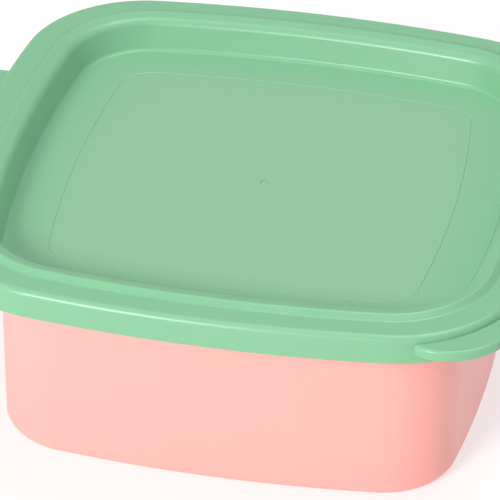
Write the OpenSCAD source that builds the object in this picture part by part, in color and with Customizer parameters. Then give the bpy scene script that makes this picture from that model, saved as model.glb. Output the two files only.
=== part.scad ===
// Square food container: a tub with a flared, flanged rim and a press-on lid that snaps over it.
// Millimetres, Z up. The origin is on the table under the middle of the tub; -Y is the front.

/* [Tub] */
// Width of the tub across its base
base_w = 119.4; // [80:0.1:190]
// Height of the tub from the table to the top of its lip
tub_h = 56.8; // [35:0.1:120]
// Thickness of the tub's wall
tub_wall = 1.6; // [1:0.1:3]
// Thickness of the tub's floor
floor_t = 1.8; // [1:0.1:4]
// Lean of the tub's wall from upright, in degrees
wall_lean = 1.1; // [0.5:0.1:6]
// How far the mouth is flared out from the straight wall
flare_out = 4.65; // [3.5:0.05:9]
// Rounding of the outer edge of the base
base_round = 3; // [1:0.1:6]
// Rounding of the corner between floor and wall, inside
floor_round = 3.4; // [1:0.1:8]
// Depth of the hollow under the base, inside the foot ring
foot_depth = 0.6; // [0.2:0.1:2]
// Width of the foot ring that the tub stands on
foot_ring = 5; // [2:0.5:12]

/* [Plan shape] */
// Corner radius of the tub at its base
base_corner = 19.3; // [12:0.1:40]
// Corner radius of the lid's skirt
skirt_corner = 32.8; // [20:0.1:60]
// Radius of the slight bow along each side of the lid's skirt
side_bow = 343; // [220:1:1200]

/* [Rim of the tub] */
// Height of the lip above the flange
lip_h = 0.8; // [0.4:0.1:2]
// Width of the flange outside the lip
flange_w = 7.4; // [6:0.1:12]
// Thickness of the flange
flange_t = 1.5; // [1:0.1:3]
// Height of the turned edge of the flange, which the lid snaps under
edge_h = 2.2; // [1.6:0.1:4]
// Width of the turned edge of the flange
edge_w = 1.7; // [1.2:0.1:3]

/* [Lid] */
// Thickness of the lid
lid_wall = 1.4; // [0.8:0.1:3]
// Depth of the lid's panel below its flat band
panel_depth = 7.2; // [4:0.1:15]
// Lean of the plug wall and of the tub's flare from upright, in degrees
plug_lean = 18; // [8:0.5:25]
// Height of the seal ridge above the flat band
ridge_h = 1.3; // [1.1:0.1:4]
// How far the foot of the ridge stands outside the tub's lip
ridge_over = 2.7; // [2.3:0.1:5]
// Fall of the ridge's crown towards the middle, in degrees
crown_fall = 13; // [4:0.5:20]
// Steepness of the ridge's outer flank, in degrees
flank_rise = 36.5; // [30:0.5:70]
// Rounding of the ridge towards the recess
shoulder_round = 2.5; // [1.6:0.1:4]
// Rounding of the ridge's outer shoulder
ridge_round = 0.9; // [0.4:0.1:2]
// Rounding at the foot of the ridge
foot_round = 1; // [0.4:0.1:2]
// Rounding where the plug wall meets the panel
panel_round = 1.3; // [0.5:0.1:4]
// Height of the skirt below the flat band
skirt_h = 7.5; // [6:0.1:14]
// Rounding of the skirt's top edge
skirt_round = 2.4; // [1.5:0.1:4]

/* [Marks on the panel] */
// Distance from the plug wall to the fine moulded line
line_inset = 11.4; // [6:0.1:18]
// Width of the moulded line
line_w = 0.5; // [0.3:0.05:1]
// Depth of the moulded line
line_d = 0.2; // [0.1:0.05:0.5]
// Diameter of the round gate mark in the middle of the panel
gate_d = 2.8; // [1.5:0.1:6]
// Depth of the gate mark
gate_depth = 0.3; // [0.1:0.05:0.6]

/* [Pull tabs] */
// Thickness of the pull tabs
tab_t = 3; // [1.6:0.1:4]
// Height of the tabs above the bottom of the skirt
tab_rise = 2.7; // [0.5:0.1:4]
// Rounding of the tabs' edges
tab_round = 1; // [0.3:0.1:1.4]
// Radius of the nose of the corner tab
corner_tab_r = 15; // [8:0.5:25]
// How far the corner tab stands out from the skirt's corner
corner_tab_reach = 6.7; // [3:0.1:14]
// Width of the side tab
side_tab_w = 61; // [20:0.5:70]
// How far the side tab stands out from the skirt
side_tab_reach = 8.5; // [3:0.1:14]
// Corner radius of the side tab
side_tab_corner = 5; // [2:0.5:8]

/* [Fit] */
// Gap between the lid and the tub where the lid seats
seat_gap = 0.3; // [0.1:0.05:0.6]
// Gap between the lid's skirt and the flange's edge
skirt_gap = 0.7; // [0.5:0.05:1.2]
// Gap left between the lid's snap bead and the flange's edge
snap_gap = 0.1; // [0.05:0.05:0.3]
// Height of the snap bead inside the skirt
bead_h = 1.5; // [1:0.1:2.5]

/* [Hidden] */
$fn = 256;
chord = 0.04;          // how far a rounding's flats may lie inside its true arc
soft = 0.35;           // the small rounding that breaks a moulded edge
under = 3;             // how far a swept side runs in over the flat plate in the middle
overlap = 1;           // how far pieces run into each other in a flat
lap = 2;               // how far a corner runs on into the sides, in degrees
tuck = 0.02;           // how far a corner is drawn in, so that it sinks into the sides
nub_d = gate_d * 0.4;  // the stub left in the gate mark

lean_t = tan(wall_lean);
flare_t = tan(plug_lean);
floor_z = foot_depth + floor_t;
base_half = base_w / 2;
wall_across = tub_wall / cos(wall_lean);

// the tub's walls: half widths at the height z
function wall_out(z) = base_half + z * lean_t;
function wall_in(z) = wall_out(z) - wall_across;
mouth_half = wall_in(tub_h) + flare_out;
function flare_in(z) = mouth_half - (tub_h - z) * flare_t;
neck_in_z = tub_h - flare_out / (flare_t - lean_t);
flare_across = tub_wall / cos(plug_lean);
neck_out_z = neck_in_z + (wall_across - flare_across) / (flare_t - lean_t);

flange_z = tub_h - lip_h;
lip_half = mouth_half + tub_wall;
flange_half = lip_half + flange_w;

// the lid, placed from the tub's rim
band_z = flange_z + seat_gap + lid_wall;
panel_z = band_z - panel_depth;
skirt_z = band_z - skirt_h;
lid_half = flange_half + skirt_gap + lid_wall;
skirt_in = lid_half - lid_wall;
bead_half = flange_half + snap_gap;
bead_z = flange_z - edge_h - snap_gap;
function plug_in(z) = flare_in(z) - (seat_gap + lid_wall) / cos(plug_lean);
ridge_foot = lip_half + ridge_over;
ridge_half = ridge_foot - ridge_h / tan(flank_rise);
ridge_z = band_z + ridge_h;
crown_t = tan(crown_fall);
crown_z = (ridge_z - crown_t * (ridge_half - plug_in(0))) / (1 - crown_t * flare_t);
band_mid = (ridge_foot + lid_half - skirt_round + foot_round) / 2;
flange_mid = (lip_half + flange_half - edge_w) / 2;
line_half = plug_in(panel_z) - line_inset;
tab_z = skirt_z + tab_rise;

// plan shape: side arcs about far centres, corner arcs about near ones
bow = side_bow - lid_half;
wall_keep = base_half - base_corner;
skirt_keep = lid_half - skirt_corner;
function near(keep) = (sqrt(2 * (bow + keep) ^ 2 - bow ^ 2) - bow) / 2;

function unit(v) = v / norm(v);
function turned(v, a) = [v[0] * cos(a) - v[1] * sin(a), v[0] * sin(a) + v[1] * cos(a)];
function flat(p) = [p[0], p[1]];

// the points of a rounding of radius r at b, between a and c, kept within its two edges
function rounding(a, b, c, r) =
    let (
        u = unit(a - b),
        v = unit(c - b),
        half = acos(u * v) / 2,
        run = min(r / tan(half), 0.49 * norm(a - b), 0.49 * norm(c - b)),
        centre = b + unit(u + v) * run / cos(half),
        sweep = (180 - 2 * half) * sign(cross(v, u)),
        steps = ceil(abs(sweep) / (2 * acos(1 - min(chord / r, 0.5))))
    )
    [for (i = [0 : steps]) centre + turned(b + u * run - centre, sweep * i / steps)];

// a closed outline from corners given as [across, up, rounding]
function rounded(path) =
    let (n = len(path))
    [
        for (i = [0 : n - 1])
            let (a = flat(path[(i + n - 1) % n]), b = flat(path[i]), c = flat(path[(i + 1) % n]))
            each path[i][2] > 0 ? rounding(a, b, c, path[i][2]) : [b]
    ];

// the lower side of a shell whose upper side is the open path, with its roundings to match
function lower(path, t) =
    [
        for (i = [1 : len(path) - 2])
            let (
                a = flat(path[i - 1]),
                b = flat(path[i]),
                c = flat(path[i + 1]),
                m = turned(unit(b - a), -90),
                n = turned(unit(c - b), -90),
                side = sign(cross(b - a, c - b)),
                p = b + (m + n) * t / (1 + m * n)
            )
            [p[0], p[1], max(path[i][2] + side * t, soft)]
    ];

function backwards(list) = [for (i = [len(list) - 1 : -1 : 0]) list[i]];

// the part of an outline that lies further out than the distance start, measured from there
function beyond(outline, start) = [for (p = outline) [max(p[0] - start, 0), p[1]]];

// sweeps a closed outline round the plan: its points are [distance from the middle, height]
module swept(keep, outline) {
    c = near(keep);
    lean = atan(c / (bow + c));
    for (turn = [0 : 90 : 270])
        rotate(turn) {
            translate([-bow, 0])
                rotate_extrude(angle = 2 * lean, start = -lean)
                    translate([bow + c - under, 0]) polygon(beyond(outline, c - under));
            translate([c - tuck, c - tuck])
                rotate_extrude(angle = 90 - 2 * (lean - lap), start = lean - lap)
                    polygon(beyond(outline, keep));
        }
}

// a flat plate that fills the middle of a swept piece
module middle(keep, z, t) {
    half = near(keep) + overlap;
    translate([-half, -half, z]) cube([2 * half, 2 * half, t]);
}

module tub() {
    body = [
        [0, foot_depth, 0],
        [base_half - base_round - foot_ring, foot_depth, soft],
        [base_half - base_round - foot_ring + foot_depth, 0, soft],
        [base_half, 0, base_round],
        [wall_out(neck_out_z), neck_out_z, base_round],
        [flare_in(flange_z - flange_t) + flare_across, flange_z - flange_t, 1],
        [flange_mid + overlap, flange_z - flange_t, 0],
        [flange_mid + overlap, flange_z, 0],
        [lip_half, flange_z, soft],
        [lip_half, tub_h, 2 * soft],
        [mouth_half, tub_h, 2 * soft],
        [wall_in(neck_in_z), neck_in_z, base_round],
        [wall_in(floor_z), floor_z, floor_round],
        [0, floor_z, 0]
    ];
    edge = [
        [flange_mid, flange_z - flange_t, 0],
        [flange_half - edge_w, flange_z - flange_t, soft],
        [flange_half - edge_w, flange_z - edge_h, soft],
        [flange_half, flange_z - edge_h, 2 * soft],
        [flange_half, flange_z, 2 * soft],
        [flange_mid, flange_z, 0]
    ];
    color([0.95, 0.66, 0.60])
        difference() {
            union() {
                swept(wall_keep, rounded(body));
                swept(skirt_keep, rounded(edge));
                middle(wall_keep, foot_depth, floor_t);
            }
            translate([0, 0, foot_depth - 1]) cylinder(d = gate_d, h = 1 + gate_depth);
        }
}

module lid() {
    panel = [[0, panel_z, 0]];
    line = [
        [line_half - line_w / 2, panel_z, 0],
        [line_half, panel_z - line_d, 0],
        [line_half + line_w / 2, panel_z, 0]
    ];
    crown = [
        [plug_in(panel_z), panel_z, panel_round],
        [plug_in(crown_z), crown_z, shoulder_round],
        [ridge_half, ridge_z, ridge_round],
        [ridge_foot, band_z, foot_round],
        [band_mid + overlap, band_z, 0]
    ];
    below = [
        [band_mid + overlap, band_z - lid_wall, 0],
        each backwards(lower(concat(panel, crown), lid_wall)),
        [0, panel_z - lid_wall, 0]
    ];
    skirt = [
        [band_mid, band_z, 0],
        [lid_half, band_z, skirt_round],
        [lid_half, skirt_z, soft],
        [skirt_in, skirt_z, soft],
        [skirt_in, bead_z - bead_h, soft],
        [bead_half, bead_z - bead_h / 2, soft],
        [bead_half, bead_z - bead_h / 3, soft],
        [skirt_in, bead_z, soft],
        [skirt_in, band_z - lid_wall, skirt_round - lid_wall],
        [band_mid, band_z - lid_wall, 0]
    ];
    color([0.62, 0.86, 0.70])
        difference() {
            union() {
                swept(wall_keep, rounded(concat(panel, line, crown, below)));
                swept(skirt_keep, rounded(skirt));
                middle(wall_keep, panel_z - lid_wall, lid_wall);
                difference() {
                    union() {
                        corner_tab();
                        side_tab();
                    }
                    skirt_core();
                }
            }
            gate_mark();
        }
}

// the space inside the middle of the skirt's thickness, which the tabs stay out of
module skirt_core() {
    inside = lid_half - lid_wall / 2;
    swept(skirt_keep, [
        [0, tab_z - 1],
        [inside, tab_z - 1],
        [inside, tab_z + tab_t + 1],
        [0, tab_z + tab_t + 1]
    ]);
    middle(skirt_keep, tab_z - 1, tab_t + 2);
}

// the edge that the tabs share: [out, up], with its middle at the height of the tab
module tab_edge(inner, outer) {
    polygon(rounded([
        [inner, tab_z, 0],
        [outer, tab_z, tab_round],
        [outer, tab_z + tab_t, tab_round],
        [inner, tab_z + tab_t, 0]
    ]));
}

module corner_tab() {
    c = near(skirt_keep);
    out = c * sqrt(2) + skirt_corner + corner_tab_reach - corner_tab_r;
    rotate(-45) translate([out, 0]) rotate_extrude() tab_edge(0, corner_tab_r);
}

module side_tab() {
    nose = lid_half + side_tab_reach;
    root = lid_half - skirt_corner / 4;
    half = side_tab_w / 2;
    r = side_tab_corner;
    rotate(180) {
        translate([0, half - r]) rotate([90, 0]) linear_extrude(2 * (half - r)) tab_edge(root, nose);
        for (way = [0, 1])
            mirror([0, way, 0]) {
                translate([nose - r, half - r]) rotate_extrude(angle = 90) tab_edge(0, r);
                translate([root, half - r])
                    rotate([90, 0, 90]) linear_extrude(nose - r - root) tab_edge(0, r);
            }
    }
}

// a shallow dish with the stub of the runner left in it
module gate_mark() {
    difference() {
        translate([0, 0, panel_z - gate_depth]) cylinder(d = gate_d, h = 1);
        translate([0, 0, panel_z - gate_depth - 1]) cylinder(d = nub_d, h = 1 + gate_depth * 0.7);
    }
}

tub();
lid();
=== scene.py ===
"""Looks for the square snap lid food container: tub and lid, moulded plastics, a pale table and soft light.

Metres, Z up. The origin is on the table under the middle of the tub, -Y is the front, and the lid lifts off
along +Z. Sections are paths of (half width, height, rounding), carried round a plan with bowed sides.
"""
import math

import bmesh
import bpy
from bpy.props import FloatProperty, FloatVectorProperty, IntProperty, PointerProperty
from mathutils import Matrix, Vector


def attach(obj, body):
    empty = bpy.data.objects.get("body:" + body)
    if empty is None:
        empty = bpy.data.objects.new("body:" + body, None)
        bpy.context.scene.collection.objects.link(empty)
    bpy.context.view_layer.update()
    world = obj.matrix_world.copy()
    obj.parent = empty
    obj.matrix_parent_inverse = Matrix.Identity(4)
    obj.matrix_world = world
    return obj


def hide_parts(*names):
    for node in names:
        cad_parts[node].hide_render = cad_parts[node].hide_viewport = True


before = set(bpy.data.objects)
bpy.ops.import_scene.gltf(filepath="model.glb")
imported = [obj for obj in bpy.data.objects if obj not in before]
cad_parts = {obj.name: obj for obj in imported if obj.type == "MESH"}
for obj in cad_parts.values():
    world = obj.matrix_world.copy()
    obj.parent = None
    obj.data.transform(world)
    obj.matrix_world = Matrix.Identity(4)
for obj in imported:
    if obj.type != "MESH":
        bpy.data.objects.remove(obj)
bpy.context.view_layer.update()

bl_info = {
    "name": "Snap Lid Food Container",
    "version": (1, 0, 0),
    "blender": (4, 5, 0),
    "location": "View3D > Sidebar > Container",
    "description": "Builds a square food container with a press-on snap lid, and a small studio",
    "category": "Add Mesh",
}

MM = 0.001
WELD = 2e-6  # points nearer than this are one point
TINY = 1e-6  # a length that counts as none
SOFT = 0.35 * MM  # rounding of the small edges
FLOOR_LAP = 2 * MM  # how far the swept floor stands inside the corner's smallest ring
PANEL_LAP = 1 * MM  # the same for the lid's panel
RING_STEP = 0.4 * MM  # flat strip between the two families of outlines
SHARP = math.radians(50)  # edges that turn more than this stay sharp

# name, place, size, power in watts and colour of each soft light
LIGHTS = (
    ("key_front_left", (-0.5, -1.25, 0.72), 0.4, 18.0, (1.0, 0.99, 0.98)),
    ("soft_above", (0.22, 0.2, 1.15), 0.7, 6.2, (1.0, 1.0, 1.0)),
)


# ---------------------------------------------------------------- settings


def length(name, default, about):
    """A length given in millimetres and kept in metres."""
    size = default * MM
    return FloatProperty(name=name, description=about, default=size, min=0.0, unit="LENGTH", precision=5)


def count(name, default, about):
    """A number of flats."""
    return IntProperty(name=name, description=about, default=default, min=2)


def degrees(name, default, about):
    """An angle given in degrees and kept in radians."""
    return FloatProperty(name=name, description=about, default=math.radians(default), subtype="ANGLE")


def colour(name, default, about):
    """A colour in linear values."""
    return FloatVectorProperty(
        name=name, description=about, default=default, size=3, min=0.0, max=1.0, subtype="COLOR"
    )


class TubSettings(bpy.types.PropertyGroup):
    base_width: length("Base width", 119.4, "Width of the tub across its base")
    height: length("Height", 56.8, "Height from the table to the top of the lip")
    wall: length("Wall", 1.6, "Thickness of the wall")
    floor: length("Floor", 1.8, "Thickness of the floor")
    lean: degrees("Wall lean", 1.1, "Lean of the wall from upright")
    flare: length("Flare", 4.65, "How far the mouth is flared out from the wall")
    base_round: length("Base rounding", 3.0, "Rounding of the outer edge of the base")
    floor_round: length("Floor rounding", 3.4, "Rounding between floor and wall, inside")
    foot_depth: length("Foot depth", 0.6, "Depth of the hollow inside the foot ring")
    foot_ring: length("Foot ring", 5.0, "Width of the foot ring")
    lip: length("Lip", 0.8, "Height of the lip above the flange")
    flange_width: length("Flange width", 7.4, "Width of the flange outside the lip")
    flange: length("Flange", 1.5, "Thickness of the flange")
    edge_height: length("Edge height", 2.2, "Height of the flange's turned edge")
    edge_width: length("Edge width", 1.7, "Width of the flange's turned edge")
    gate: length("Gate dimple", 2.8, "Diameter of the gate dimple in the middle of the base")
    gate_depth: length("Gate depth", 0.3, "Depth of the gate dimple")
    plastic: colour("Tub plastic", (0.95, 0.405, 0.365), "Colour of the tub's plastic")


class LidSettings(bpy.types.PropertyGroup):
    wall: length("Wall", 1.4, "Thickness of the lid")
    panel_depth: length("Panel depth", 7.2, "Depth of the panel below the flat band")
    plug_lean: degrees("Plug lean", 18.0, "Lean of the plug wall and of the tub's flare")
    ridge: length("Ridge", 1.3, "Height of the seal ridge above the flat band")
    ridge_over: length("Ridge foot", 2.7, "How far the ridge's foot stands outside the tub's lip")
    crown_fall: degrees("Crown fall", 13.0, "Fall of the ridge's crown towards the middle")
    flank_rise: degrees("Flank rise", 36.5, "Steepness of the ridge's outer flank")
    shoulder_round: length("Shoulder rounding", 2.5, "Rounding of the ridge towards the recess")
    ridge_round: length("Ridge rounding", 0.9, "Rounding of the ridge's outer shoulder")
    foot_round: length("Foot rounding", 1.0, "Rounding at the foot of the ridge")
    panel_round: length("Panel rounding", 1.3, "Rounding where the plug wall meets the panel")
    skirt: length("Skirt", 7.5, "Height of the skirt below the flat band")
    skirt_round: length("Skirt rounding", 2.4, "Rounding of the skirt's top edge")
    line_inset: length("Line inset", 11.4, "Distance from the plug wall to the moulded line")
    line_width: length("Line width", 0.5, "Width of the moulded line")
    line_depth: length("Line depth", 0.2, "Depth of the moulded line")
    gate: length("Gate mark", 2.8, "Diameter of the gate mark in the middle of the panel")
    gate_depth: length("Gate depth", 0.3, "Depth of the gate mark")
    tab: length("Tab thickness", 3.0, "Thickness of the pull tabs")
    tab_rise: length("Tab rise", 2.7, "Height of the tabs above the bottom of the skirt")
    tab_round: length("Tab rounding", 0.85, "Rounding of the tabs' edges")
    corner_tab: length("Corner tab radius", 15.0, "Radius of the nose of the corner tab")
    corner_reach: length("Corner tab reach", 6.7, "How far the corner tab stands out")
    corner_blunt: FloatProperty(
        name="Corner tab bluntness",
        description="1 for a round nose, less for blunter ends",
        default=0.72,
        min=0.4,
        max=1.0,
    )
    side_tab: length("Side tab width", 61.0, "Width of the side tab")
    side_reach: length("Side tab reach", 8.5, "How far the side tab stands out")
    side_corner: length("Side tab corner", 5.0, "Corner radius of the side tab")
    plastic: colour("Lid plastic", (0.202, 0.465, 0.268), "Colour of the lid's plastic")
    # the panel's middle colour: partly its own paler tone, partly set against the painted shade along the
    # plug wall
    panel_plastic: colour("Panel plastic", (0.246, 0.470, 0.284), "Paler colour of the panel's middle")


class PlanSettings(bpy.types.PropertyGroup):
    base_corner: length("Base corner", 19.3, "Corner radius of the tub at its base")
    skirt_corner: length("Skirt corner", 32.8, "Corner radius of the lid's skirt")
    side_bow: length("Side bow", 343.0, "Radius of the slight bow along each side")
    seat_gap: length("Seat gap", 0.3, "Gap between the lid and the tub where the lid seats")
    skirt_gap: length("Skirt gap", 0.7, "Gap between the skirt and the flange's edge")
    snap_gap: length("Snap gap", 0.1, "Gap between the snap bead and the flange's edge")
    bead: length("Bead", 1.5, "Height of the snap bead inside the skirt")
    corner_steps: count("Corner steps", 26, "Flats in each corner of the plan")
    side_steps: count("Side steps", 12, "Flats along each side of the plan")
    arc_steps: count("Rounding steps", 7, "Flats in each rounded edge")


class StudioSettings(bpy.types.PropertyGroup):
    camera_azimuth: degrees("Azimuth", -11.2, "Way the camera looks, from +Y towards +X")
    camera_elevation: degrees("Elevation", 33.14, "Height of the camera above the horizon")
    camera_distance: FloatProperty(
        name="Distance", description="From the camera to its target", default=1.13091, unit="LENGTH"
    )
    camera_roll: degrees("Roll", 0.95, "Turn of the camera about the way it looks")
    camera_lens: FloatProperty(name="Lens", description="Focal length on a 36 mm sensor", default=331.16)
    target: FloatVectorProperty(
        name="Target",
        description="Point that the camera looks at",
        default=(0.0026, -0.03115, 0.0505),
        subtype="TRANSLATION",
    )
    table: colour("Table", (0.42, 0.42, 0.42), "Colour of the table")
    table_glow: FloatProperty(name="Table glow", description="Light that the table gives off", default=0.58)
    sky: FloatProperty(name="Sky", description="Strength of the even light from all round", default=0.48)


# ---------------------------------------------------------------- materials


class Value:
    """A shader socket that takes part in ordinary arithmetic."""

    def __init__(self, kit, socket):
        self.kit, self.socket = kit, socket

    def _maths(self, how, other, swap=False):
        return self.kit.maths(how, *((other, self) if swap else (self, other)))

    def __add__(self, other):
        return self._maths("ADD", other)

    def __sub__(self, other):
        return self._maths("SUBTRACT", other)

    def __mul__(self, other):
        return self._maths("MULTIPLY", other)

    def __rsub__(self, other):
        return self._maths("SUBTRACT", other, True)

    __radd__, __rmul__ = __add__, __mul__


class Kit:
    """Makes the nodes of one material."""

    def __init__(self, name):
        self.material = bpy.data.materials.new(name)
        self.material.use_nodes = True
        self.tree = self.material.node_tree
        self.tree.nodes.clear()

    def node(self, kind, settings=None, sockets=None, out=0):
        """One node: its settings, then the values or links of its sockets; gives one of its outputs."""
        n = self.tree.nodes.new(kind)
        for key, value in (settings or {}).items():
            if key == "stops":
                ramp = n.color_ramp
                for i, (at, shade) in enumerate(value):
                    stop = ramp.elements[i] if i < 2 else ramp.elements.new(at)
                    stop.position, stop.color = at, (shade, shade, shade, 1.0)
            else:
                setattr(n, key, value)
        for key, value in (sockets or {}).items():
            if isinstance(value, Value):
                self.tree.links.new(value.socket, n.inputs[key])
            elif value is not None:
                n.inputs[key].default_value = value
        return Value(self, n.outputs[out]) if n.outputs else None

    def maths(self, how, a, b=None):
        """One Math node."""
        return self.node("ShaderNodeMath", {"operation": how}, {0: a, 1: b})

    def across(self, x, y, plan, keep):
        """How far out a point lies in the plan's family of bowed and rounded squares, in metres."""
        x, y = self.maths("ABSOLUTE", x), self.maths("ABSOLUTE", y)
        wide, deep = x + plan.bow, y + plan.bow
        side = self.maths("MAXIMUM", wide * wide + y * y, deep * deep + x * x)
        side = self.maths("SQRT", side) - plan.bow
        dx, dy = x - plan.near(keep), y - plan.near(keep)
        corner = self.maths("SQRT", dx * dx + dy * dy) + keep
        turned = self.maths("GREATER_THAN", self.maths("MINIMUM", dx, dy), 0.0)
        return side + turned * self.maths("MAXIMUM", corner - side, 0.0)

    def mix(self, factor, a, b):
        """A colour between a and b."""
        colours = {"Factor": factor, 6: a, 7: b}
        return self.node("ShaderNodeMix", {"data_type": "RGBA"}, colours, out=2)

    def noise(self, where, scale, detail, rough):
        """A noise pattern, finer as the scale grows."""
        sockets = {"Vector": where, "Scale": scale, "Detail": detail, "Roughness": rough}
        return self.node("ShaderNodeTexNoise", {}, sockets)

    def ramp(self, factor, *stops):
        """A grey value read off stops of (position, grey)."""
        return self.node("ShaderNodeValToRGB", {"stops": stops}, {"Fac": factor})


def shade_of(rgb, by):
    """A colour made a little lighter or darker."""
    return (*(min(1.0, c * by) for c in rgb), 1.0)


def moulded_plastic(name, rgb, roughness, glow, plan=None, panel=None):
    """Satin moulded plastic: cloudy pigment, flow lines from the gate, fine grain and light scuffs.

    With a plan, the panel grows paler from its plug wall towards its middle, partly the middle's own paler
    tone and partly painted shade along the recess wall, and is finely textured inside the moulded line.
    """
    kit = Kit(name)
    here = kit.node("ShaderNodeTexCoord", out=3)
    x, y = (kit.node("ShaderNodeSeparateXYZ", {}, {0: here}, out=i) for i in (0, 1))
    cloud = kit.noise(here, 22.0, 3.0, 0.55)
    speck = kit.noise(here, 900.0, 2.0, 0.6)
    grain = kit.noise(here, 2600.0, 3.0, 0.65)
    turn, reach = kit.maths("ARCTAN2", y, x), kit.maths("SQRT", x * x + y * y)
    around = kit.node("ShaderNodeCombineXYZ", {}, {0: turn * 5.0, 1: reach * 14.0})
    flow = kit.noise(around, 1.6, 2.0, 0.5)
    slanted = {"Vector": here, "Rotation": (0.3, 0.2, 0.7), "Scale": (60.0, 900.0, 400.0)}
    stretched = kit.node("ShaderNodeMapping", {}, slanted)
    scuffs = kit.ramp(kit.noise(stretched, 1.0, 3.0, 0.7), (0.64, 0.0), (0.78, 1.0))
    tone = kit.ramp(cloud * 0.5 + flow * 0.25 + speck * 0.25, (0.3, 0.0), (0.7, 1.0))
    base = kit.mix(tone, shade_of(rgb, 0.983), shade_of(rgb, 1.012))
    bare = (0.95, 0.95, 0.93, 1.0)  # where a scuff has whitened the plastic
    rough = roughness + (cloud - 0.5) * 0.06 + (speck - 0.5) * 0.05 + scuffs * 0.04
    height = grain * 0.6 + speck * 0.3 + cloud * 0.4 - scuffs * 0.1
    if plan:
        out = kit.across(x, y, plan, plan.wall_keep)
        # painted shade and own tone: the panel keeps the lid's darker colour at the plug wall, where the
        # recess shades it, and grows paler over about 18 mm to its middle colour, which is also paler in
        # its own right
        recess = kit.ramp((plan.plug_in(plan.panel_z) - out) * 55.0, (0.0, 0.0), (1.0, 1.0))
        inside = kit.maths("LESS_THAN", out, plan.line_half)
        texture = kit.noise(here, 5200.0, 2.0, 0.5)
        fine = kit.mix(texture * 0.5 + tone * 0.5, shade_of(panel, 0.98), shade_of(panel, 1.02))
        base = kit.mix(recess, base, fine)
        rough = rough + inside * 0.08
        height = height + inside * texture * 0.7
    worn = kit.mix(scuffs * 0.025, base, bare)
    bump = kit.node("ShaderNodeBump", {}, {"Strength": 0.06, "Distance": 0.0004, "Height": height})
    surface = kit.node(
        "ShaderNodeBsdfPrincipled",
        {"subsurface_method": "RANDOM_WALK"},
        {
            "Base Color": worn,
            "Roughness": rough,
            "Normal": bump,
            "IOR": 1.49,
            "Specular IOR Level": 0.5,
            "Subsurface Weight": glow,
            "Subsurface Radius": (1.0, 0.55, 0.4),
            "Subsurface Scale": 0.0022,
        },
    )
    kit.node("ShaderNodeOutputMaterial", {}, {"Surface": surface})
    return kit.material


def table_top(rgb, glow):
    """Pale matt table with a faint cloudiness."""
    kit = Kit("table_top")
    here = kit.node("ShaderNodeTexCoord", out=3)
    cloud = kit.noise(here, 3.0, 2.0, 0.5)
    base = kit.mix(cloud, shade_of(rgb, 0.99), shade_of(rgb, 1.0))
    surface = kit.node(
        "ShaderNodeBsdfPrincipled",
        {},
        {
            "Base Color": base,
            "Roughness": 0.9,
            "Specular IOR Level": 0.1,
            "Emission Color": (1.0, 1.0, 1.0, 1.0),
            "Emission Strength": glow,
        },
    )
    kit.node("ShaderNodeOutputMaterial", {}, {"Surface": surface})
    return kit.material


# ---------------------------------------------------------------- plan and sections


class Plan:
    """The levels and half widths that tub and lid share."""

    def __init__(self, scene):
        t, l, p = scene.container_tub, scene.container_lid, scene.container_plan
        self.steps = p
        lean, flare = math.tan(t.lean), math.tan(l.plug_lean)
        across = t.wall / math.cos(t.lean)
        half = t.base_width / 2
        self.base_half = half
        self.floor_z = t.foot_depth + t.floor
        self.wall_out = lambda z: half + z * lean
        self.wall_in = lambda z: half + z * lean - across
        self.mouth = self.wall_in(t.height) + t.flare
        self.flare_in = lambda z: self.mouth - (t.height - z) * flare
        self.neck_in = t.height - t.flare / (flare - lean)
        self.flare_across = t.wall / math.cos(l.plug_lean)
        self.neck_out = self.neck_in + (across - self.flare_across) / (flare - lean)
        self.flange_z = t.height - t.lip
        self.lip_half = self.mouth + t.wall
        self.flange_half = self.lip_half + t.flange_width
        self.band_z = self.flange_z + p.seat_gap + l.wall
        self.panel_z = self.band_z - l.panel_depth
        self.skirt_z = self.band_z - l.skirt
        self.lid_half = self.flange_half + p.skirt_gap + l.wall
        self.skirt_in = self.lid_half - l.wall
        self.bead_half = self.flange_half + p.snap_gap
        self.bead_z = self.flange_z - t.edge_height - p.snap_gap
        self.plug_in = lambda z: self.flare_in(z) - (p.seat_gap + l.wall) / math.cos(l.plug_lean)
        self.ridge_foot = self.lip_half + l.ridge_over
        self.ridge_half = self.ridge_foot - l.ridge / math.tan(l.flank_rise)
        self.ridge_z = self.band_z + l.ridge
        fall = math.tan(l.crown_fall)
        self.crown_z = (self.ridge_z - fall * (self.ridge_half - self.plug_in(0))) / (1 - fall * flare)
        self.band_mid = (self.ridge_foot + self.lid_half - l.skirt_round + l.foot_round) / 2
        self.flange_mid = (self.lip_half + self.flange_half - t.edge_width) / 2
        self.line_half = self.plug_in(self.panel_z) - l.line_inset
        self.tab_z = self.skirt_z + l.tab_rise
        self.bow = p.side_bow - self.lid_half
        self.wall_keep = half - p.base_corner
        self.skirt_keep = self.lid_half - p.skirt_corner

    def near(self, keep):
        """How far the corner centres of a family of outlines stand from the middle lines."""
        return (math.sqrt(2 * (self.bow + keep) ** 2 - self.bow**2) - self.bow) / 2

    def lean(self, keep):
        """Half of the angle that a side's arc turns through."""
        c = self.near(keep)
        return math.atan(c / (self.bow + c))


def offset_path(path, t):
    """The lower side of a shell whose upper side is the open path, with its roundings to match."""
    out = []
    for a, b, c in zip(path, path[1:], path[2:]):
        p, q, r = (Vector(v[:2]) for v in (a, b, c))
        m, n = ((w.normalized().y, -w.normalized().x) for w in (q - p, r - q))
        m, n = Vector(m), Vector(n)
        side = 1 if (q - p).cross(r - q) > 0 else -1
        s = q + (m + n) * t / (1 + m.dot(n))
        out.append((s.x, s.y, max(b[2] + side * t, SOFT)))
    return out


def soften(bm, geom, what, run, steps):
    """Rounds edges or the corners of a wire."""
    bmesh.ops.bevel(
        bm,
        geom=geom,
        affect=what,
        offset=run,
        offset_type="OFFSET",
        segments=steps,
        profile=0.5,
        material=-1,
    )


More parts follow.
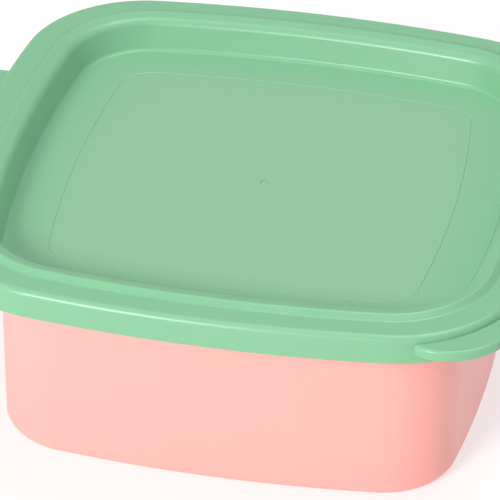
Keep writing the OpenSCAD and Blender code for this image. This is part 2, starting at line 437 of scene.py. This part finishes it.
def section(bm, path, place, steps):
    """Draws an open path of (across, up, rounding) as edges, with each corner bevelled to its rounding."""
    verts = [bm.verts.new(place(w, z)) for w, z, _ in path]
    for pair in zip(verts, verts[1:]):
        bm.edges.new(pair)
    corners = []
    for i in range(1, len(path) - 1):
        a, b, c = (Vector(path[k][:2]) for k in (i - 1, i, i + 1))
        if path[i][2] > 0:
            run = path[i][2] * math.tan((b - a).angle(c - b) / 2)
            corners.append((verts[i], min(run, 0.49 * (b - a).length, 0.49 * (c - b).length)))
    for corner, run in corners:
        soften(bm, [corner], "VERTICES", run, steps)


def sweep(bm, plan, path, keep):
    """Carries an open path round the plan, corner by corner and side by side."""
    c, lean, turn = plan.near(keep), plan.lean(keep), math.pi / 2
    s = plan.steps

    def place(w, z):
        return (c + (w - keep) * math.cos(lean), c + (w - keep) * math.sin(lean), z)

    before = set(bm.verts), set(bm.edges)
    section(bm, path, place, s.arc_steps)
    strip = [v for v in bm.verts if v not in before[0]] + [e for e in bm.edges if e not in before[1]]
    for k in range(4):
        corner = Matrix.Rotation(k * turn, 3, "Z") @ Vector((c, c, 0))
        side = Matrix.Rotation((k + 1) * turn, 3, "Z") @ Vector((-plan.bow, 0, 0))
        for at, angle, steps in (
            (corner, turn - 2 * lean, s.corner_steps),
            (side, 2 * lean, s.side_steps),
        ):
            turned = bmesh.ops.spin(
                bm, geom=strip, cent=at, axis=(0, 0, 1), angle=angle, steps=steps, use_duplicate=False
            )
            strip = turned["geom_last"]
    fresh = [v for v in bm.verts if v not in before[0]]
    bmesh.ops.remove_doubles(bm, verts=fresh, dist=WELD)


def rings(bm):
    """The closed boundary loops, each a list of edges."""
    left = {e for e in bm.edges if e.is_boundary}
    out = []
    while left:
        loop, todo = [], [left.pop()]
        while todo:
            e = todo.pop()
            loop.append(e)
            for v in e.verts:
                for n in v.link_edges:
                    if n in left:
                        left.remove(n)
                        todo.append(n)
        out.append(loop)
    return out


def ring_at(bm, across, up):
    """The boundary ring that crosses the +X side nearest to a place in the section."""

    def off(loop):
        far = max(v.co.x for e in loop for v in e.verts)
        level = sum(v.co.z for e in loop for v in e.verts) / (2 * len(loop))
        return abs(far - across) + abs(level - up)

    return min(rings(bm), key=off)


def in_order(loop):
    """The points of a ring, counted round from just before +X."""
    points = {v for e in loop for v in e.verts}
    return sorted(points, key=lambda v: (math.atan2(v.co.y, v.co.x) + 0.01) % (2 * math.pi))


def join(bm, a, b):
    """Draws the ring at b out to the ring at a, point by point, and welds them."""
    goal, loop = in_order(ring_at(bm, *a)), ring_at(bm, *b)
    drawn = bmesh.ops.extrude_edge_only(bm, edges=loop)["geom"]
    fresh = in_order([e for e in drawn if isinstance(e, bmesh.types.BMEdge) and e.is_boundary])
    for v, end in zip(fresh, goal):
        v.co = end.co
    bmesh.ops.remove_doubles(bm, verts=fresh + goal, dist=WELD)


def close(bm, across, up):
    """Fills the ring nearest to a place in the section with one face."""
    bmesh.ops.edgeloop_fill(bm, edges=ring_at(bm, across, up))


def dish(bm, plan, path):
    """Turns a small round dish about the middle; its rim has as many points as the plan's rings."""
    flats = 4 * (plan.steps.corner_steps + plan.steps.side_steps)
    before = set(bm.verts), set(bm.edges)
    verts = [bm.verts.new((r, 0, z)) for r, z in path]
    for pair in zip(verts, verts[1:]):
        bm.edges.new(pair)
    strip = [v for v in bm.verts if v not in before[0]] + [e for e in bm.edges if e not in before[1]]
    bmesh.ops.spin(
        bm,
        geom=strip,
        cent=(0, 0, 0),
        axis=(0, 0, 1),
        angle=2 * math.pi,
        steps=flats,
        use_merge=True,
        use_duplicate=False,
    )
    fresh = [v for v in bm.verts if v not in before[0]]
    bmesh.ops.remove_doubles(bm, verts=fresh, dist=WELD)


# ---------------------------------------------------------------- pieces


def piece(name, bm, material):
    """A finished piece: outward normals, smooth shading with true flats, its material."""
    bmesh.ops.recalc_face_normals(bm, faces=bm.faces)
    mesh = bpy.data.meshes.new(name)
    for f in bm.faces:
        f.smooth = True
    bm.to_mesh(mesh)
    bm.free()
    mesh.materials.append(material)
    mesh.set_sharp_from_angle(angle=SHARP)
    obj = bpy.data.objects.new(name, mesh)
    bpy.context.scene.collection.objects.link(obj)
    flats = obj.modifiers.new("true_flats", "WEIGHTED_NORMAL")
    flats.keep_sharp = True
    flats.weight = 60
    return obj


class CONTAINER_OT_tub(bpy.types.Operator):
    """Build the tub: foot ring, floor, leaning wall, flared mouth, lip and flange with its turned edge"""

    bl_idname = "container.tub"
    bl_label = "Tub"

    def execute(self, context):
        t, g = context.scene.container_tub, Plan(context.scene)
        foot = g.base_half - t.base_round - t.foot_ring
        under = g.flange_z - t.flange
        bm = bmesh.new()
        outside = [
            (g.wall_keep + FLOOR_LAP, t.foot_depth, 0),
            (foot, t.foot_depth, SOFT),
            (foot + t.foot_depth, 0, SOFT),
            (g.base_half, 0, t.base_round),
            (g.wall_out(g.neck_out), g.neck_out, t.base_round),
            (g.flare_in(under) + g.flare_across, under, 1 * MM),
            (g.flange_mid, under, 0),
        ]
        inside = [
            (g.flange_mid, g.flange_z, 0),
            (g.lip_half, g.flange_z, SOFT),
            (g.lip_half, t.height, 2 * SOFT),
            (g.mouth, t.height, 2 * SOFT),
            (g.wall_in(g.neck_in), g.neck_in, t.base_round),
            (g.wall_in(g.floor_z), g.floor_z, t.floor_round),
            (g.wall_keep + FLOOR_LAP, g.floor_z, 0),
        ]
        outer = g.flange_mid + 1.5 * RING_STEP
        edge = [
            (outer, under, 0),
            (g.flange_half - t.edge_width, under, SOFT),
            (g.flange_half - t.edge_width, g.flange_z - t.edge_height, SOFT),
            (g.flange_half, g.flange_z - t.edge_height, 2 * SOFT),
            (g.flange_half, g.flange_z, 2 * SOFT),
            (outer, g.flange_z, 0),
        ]
        sweep(bm, g, outside, g.wall_keep)
        sweep(bm, g, inside, g.wall_keep)
        sweep(bm, g, edge, g.skirt_keep)
        join(bm, (g.flange_mid, under), (outer, under))
        join(bm, (g.flange_mid, g.flange_z), (outer, g.flange_z))
        r, up = t.gate / 2, t.foot_depth + t.gate_depth
        dish(bm, g, [(r, t.foot_depth), (r * 0.93, up), (r * 0.3, up)])
        join(bm, (g.wall_keep + FLOOR_LAP, t.foot_depth), (r, t.foot_depth))
        close(bm, r * 0.3, up)
        close(bm, g.wall_keep + FLOOR_LAP, g.floor_z)
        plastic = moulded_plastic("coral_polypropylene", t.plastic, 0.38, 0.35)
        tub = piece("tub_moulding", bm, plastic)
        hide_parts("tub")
        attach(tub, "tub")
        return {"FINISHED"}


class CONTAINER_OT_lid(bpy.types.Operator):
    """Build the lid: panel with moulded line and gate mark, plug wall, seal ridge, skirt and snap bead"""

    bl_idname = "container.lid"
    bl_label = "Lid"

    def execute(self, context):
        l, p, g = context.scene.container_lid, context.scene.container_plan, Plan(context.scene)
        inner = (g.wall_keep + PANEL_LAP, g.panel_z, 0)
        crown = [
            inner,
            (g.plug_in(g.panel_z), g.panel_z, l.panel_round),
            (g.plug_in(g.crown_z), g.crown_z, l.shoulder_round),
            (g.ridge_half, g.ridge_z, l.ridge_round),
            (g.ridge_foot, g.band_z, l.foot_round),
            (g.band_mid, g.band_z, 0),
        ]
        line = [
            (g.line_half - l.line_width / 2, g.panel_z, 0.1 * MM),
            (g.line_half, g.panel_z - l.line_depth, 0.12 * MM),
            (g.line_half + l.line_width / 2, g.panel_z, 0.1 * MM),
        ]
        below = [
            (inner[0], g.panel_z - l.wall, 0),
            *offset_path(crown, l.wall),
            (g.band_mid, g.band_z - l.wall, 0),
        ]
        outer = g.band_mid + RING_STEP
        skirt = [
            (outer, g.band_z, 0),
            (g.lid_half, g.band_z, l.skirt_round),
            (g.lid_half, g.skirt_z, SOFT),
            (g.skirt_in, g.skirt_z, SOFT),
            (g.skirt_in, g.bead_z - p.bead, SOFT),
            (g.bead_half, g.bead_z - p.bead / 2, SOFT),
            (g.bead_half, g.bead_z - p.bead / 3, SOFT),
            (g.skirt_in, g.bead_z, SOFT),
            (g.skirt_in, g.band_z - l.wall, l.skirt_round - l.wall),
            (outer, g.band_z - l.wall, 0),
        ]
        bm = bmesh.new()
        sweep(bm, g, [crown[0]] + line + crown[1:], g.wall_keep)
        sweep(bm, g, below, g.wall_keep)
        sweep(bm, g, skirt, g.skirt_keep)
        join(bm, (g.band_mid, g.band_z), (outer, g.band_z))
        join(bm, (g.band_mid, g.band_z - l.wall), (outer, g.band_z - l.wall))
        r, down = l.gate / 2, g.panel_z - l.gate_depth
        nub, top = r * 0.4, g.panel_z - l.gate_depth * 0.3
        mark = [
            (r + 0.05 * MM, g.panel_z),
            (r - 0.04 * MM, g.panel_z - 0.04 * MM),
            (r - 0.08 * MM, down),
            (nub + 0.1 * MM, down),
            (nub, top),
            (nub * 0.4, top),
        ]
        dish(bm, g, mark)
        join(bm, (inner[0], g.panel_z), (r + 0.05 * MM, g.panel_z))
        close(bm, nub * 0.4, top)
        close(bm, inner[0], g.panel_z - l.wall)
        plastic = moulded_plastic("mint_polyethylene", l.plastic, 0.33, 0.3, g, l.panel_plastic)
        lid = piece("lid_moulding", bm, plastic)
        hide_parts("lid")
        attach(lid, "lid")
        return {"FINISHED"}


def tab_profile(l, z):
    """The rounded free edge of a tab: (distance in from the nose, height), from underneath to the top."""
    r, flats = l.tab_round, 6
    turns = [math.pi / 2 * i / flats for i in range(flats + 1)]
    low = [(r - r * math.sin(a), z + r - r * math.cos(a)) for a in turns]
    return low + [(d, 2 * z + l.tab - h) for d, h in reversed(low)]


def rise(edge):
    """Difference in height of an edge's two ends."""
    return abs(edge.verts[0].co.z - edge.verts[1].co.z)


def slice_at(bm, point, normal, **how):
    """Cuts the whole mesh by a plane."""
    everything = bm.verts[:] + bm.edges[:] + bm.faces[:]
    bmesh.ops.bisect_plane(bm, geom=everything, plane_co=point, plane_no=normal, **how)


class CONTAINER_OT_tabs(bpy.types.Operator):
    """Build the lid's pull tabs: the round one at the front right corner, the wide one on the left side"""

    bl_idname = "container.tabs"
    bl_label = "Pull tabs"

    def execute(self, context):
        scene = context.scene
        l, g = scene.container_lid, Plan(scene)
        plastic = bpy.data.materials["mint_polyethylene"]
        free = tab_profile(l, g.tab_z)
        c, root = g.near(g.skirt_keep), scene.container_plan.skirt_corner - l.wall / 2

        # corner tab: a strip turned about the skirt's own corner centre, drawn out to the nose
        nose = scene.container_plan.skirt_corner + l.corner_reach - l.corner_tab
        end = l.corner_tab - 0.2 * MM
        spread = math.acos((root**2 + nose**2 - end**2) / (2 * root * nose))
        bm = bmesh.new()
        start = Matrix.Rotation(-spread, 3, "Z")
        marks = [
            (root, g.tab_z, None),
            *((root + 2 * MM, h, d) for d, h in free),
            (root, g.tab_z + l.tab, None),
        ]
        layer = bm.verts.layers.float.new("inset")
        verts = []
        for across, up, inset in marks:
            v = bm.verts.new(start @ Vector((across, 0, up)))
            v[layer] = -1.0 if inset is None else inset
            verts.append(v)
        edges = [bm.edges.new(p) for p in zip(verts, verts[1:])]
        edges.append(bm.edges.new((verts[-1], verts[0])))
        strip = verts + edges
        bmesh.ops.spin(
            bm, geom=strip, cent=(0, 0, 0), axis=(0, 0, 1), angle=2 * spread, steps=48, use_duplicate=False
        )
        for v in bm.verts:
            if v[layer] >= 0:
                a = math.atan2(v.co.y, v.co.x)
                r, full = l.corner_tab - v[layer], nose + l.corner_tab - v[layer] - root
                reach = nose * math.cos(a) + math.sqrt(max(r * r - (nose * math.sin(a)) ** 2, 0.0))
                reach = root + full * (max(reach - root, 0.0) / full) ** l.corner_blunt
                v.co.x, v.co.y = reach * math.cos(a), reach * math.sin(a)
        bmesh.ops.holes_fill(bm, edges=[e for e in bm.edges if e.is_boundary], sides=0)
        bmesh.ops.translate(bm, vec=(c * math.sqrt(2), 0, 0), verts=bm.verts)
        bmesh.ops.rotate(bm, cent=(0, 0, 0), matrix=Matrix.Rotation(-math.pi / 4, 3, "Z"), verts=bm.verts)
        corner = piece("corner_tab", bm, plastic)

        # side tab: a slab with rounded corners and edges, its root bent to the bow of the side
        out, back, strip = g.lid_half + l.side_reach, g.lid_half - 12 * MM, 3 * MM
        bm = bmesh.new()
        bmesh.ops.create_cube(bm, size=1.0)
        bmesh.ops.scale(bm, vec=(out - back, l.side_tab, l.tab), verts=bm.verts)
        bmesh.ops.translate(bm, vec=((out + back) / 2, 0, g.tab_z + l.tab / 2), verts=bm.verts)
        upright = [e for e in bm.edges if rise(e) > l.tab / 2 and e.verts[0].co.x > g.lid_half]
        soften(bm, upright, "EDGES", l.side_corner, 14)
        rim = [e for e in bm.edges if rise(e) < TINY and max(v.co.x for v in e.verts) > back + 10 * TINY]
        soften(bm, rim, "EDGES", l.tab_round, 6)
        cut = g.lid_half - l.wall * 0.5
        for i in range(-9, 10):
            slice_at(bm, (0, i * strip, 0), (0, 1, 0))
        slice_at(bm, (cut, 0, 0), (-1, 0, 0), clear_outer=True)
        bmesh.ops.holes_fill(bm, edges=[e for e in bm.edges if e.is_boundary], sides=0)
        for v in bm.verts:
            if abs(v.co.x - cut) < TINY:
                v.co.x = math.sqrt((g.bow + cut) ** 2 - v.co.y**2) - g.bow
        bmesh.ops.rotate(bm, cent=(0, 0, 0), matrix=Matrix.Rotation(math.pi, 3, "Z"), verts=bm.verts)
        side = piece("side_tab", bm, plastic)
        for tab in (corner, side):
            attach(tab, "lid")
        return {"FINISHED"}


class CONTAINER_OT_studio(bpy.types.Operator):
    """Lay the pale table, hang the soft lights and set the camera"""

    bl_idname = "container.studio"
    bl_label = "Table, lights and camera"

    def execute(self, context):
        scene, s = context.scene, context.scene.container_studio
        bm = bmesh.new()
        bmesh.ops.create_grid(bm, x_segments=8, y_segments=8, size=4.0)
        mesh = bpy.data.meshes.new("table")
        bm.to_mesh(mesh)
        bm.free()
        mesh.materials.append(table_top(s.table, s.table_glow))
        table = bpy.data.objects.new("table", mesh)
        scene.collection.objects.link(table)

        world = bpy.data.worlds.new("studio")
        scene.world = world
        world.use_nodes = True
        sky = world.node_tree.nodes["Background"].inputs
        sky["Color"].default_value = (1.0, 1.0, 1.0, 1.0)
        sky["Strength"].default_value = s.sky

        for name, at, size, power, tint in LIGHTS:
            light = bpy.data.lights.new(name, "AREA")
            light.energy, light.size, light.color = power, size, tint
            lamp = bpy.data.objects.new(name, light)
            lamp.location = at
            lamp.rotation_euler = (Vector((0, 0, 0.03)) - Vector(at)).to_track_quat("-Z", "Y").to_euler()
            scene.collection.objects.link(lamp)

        a, e = s.camera_azimuth, s.camera_elevation
        ahead = Vector((math.sin(a) * math.cos(e), math.cos(a) * math.cos(e), -math.sin(e)))
        camera = bpy.data.objects.new("camera", bpy.data.cameras.new("camera"))
        camera.data.lens, camera.data.sensor_width = s.camera_lens, 36.0
        camera.data.clip_start, camera.data.clip_end = 0.05, 50.0
        camera.location = Vector(s.target) - ahead * s.camera_distance
        turn = ahead.to_track_quat("-Z", "Y").to_matrix() @ Matrix.Rotation(s.camera_roll, 3, "Z")
        camera.rotation_euler = turn.to_euler()
        scene.collection.objects.link(camera)
        scene.camera = camera
        scene.view_settings.view_transform = "Standard"
        return {"FINISHED"}


class CONTAINER_PT_panel(bpy.types.Panel):
    """Builds the container's pieces one by one"""

    bl_label = "Snap lid container"
    bl_idname = "CONTAINER_PT_panel"
    bl_space_type = "VIEW_3D"
    bl_region_type = "UI"
    bl_category = "Container"

    def draw(self, context):
        scene = context.scene
        for step in STEPS:
            self.layout.operator(step.bl_idname)
        for group, names in (
            (scene.container_tub, ("base_width", "height", "plastic")),
            (scene.container_lid, ("ridge", "skirt", "plastic")),
            (scene.container_plan, ("skirt_corner", "side_bow")),
        ):
            box = self.layout.box()
            for name in names:
                box.prop(group, name)


GROUPS = {
    "container_tub": TubSettings,
    "container_lid": LidSettings,
    "container_plan": PlanSettings,
    "container_studio": StudioSettings,
}
STEPS = (CONTAINER_OT_tub, CONTAINER_OT_lid, CONTAINER_OT_tabs, CONTAINER_OT_studio)


def register():
    for name, group in GROUPS.items():
        bpy.utils.register_class(group)
        setattr(bpy.types.Scene, name, PointerProperty(type=group))
    for cls in (*STEPS, CONTAINER_PT_panel):
        bpy.utils.register_class(cls)


def unregister():
    for cls in (CONTAINER_PT_panel, *reversed(STEPS)):
        bpy.utils.unregister_class(cls)
    for name, group in reversed(GROUPS.items()):
        delattr(bpy.types.Scene, name)
        bpy.utils.unregister_class(group)


def main():
    register()
    bpy.ops.container.tub()
    bpy.ops.container.lid()
    bpy.ops.container.tabs()
    bpy.ops.container.studio()


if __name__ == "__main__":
    main()
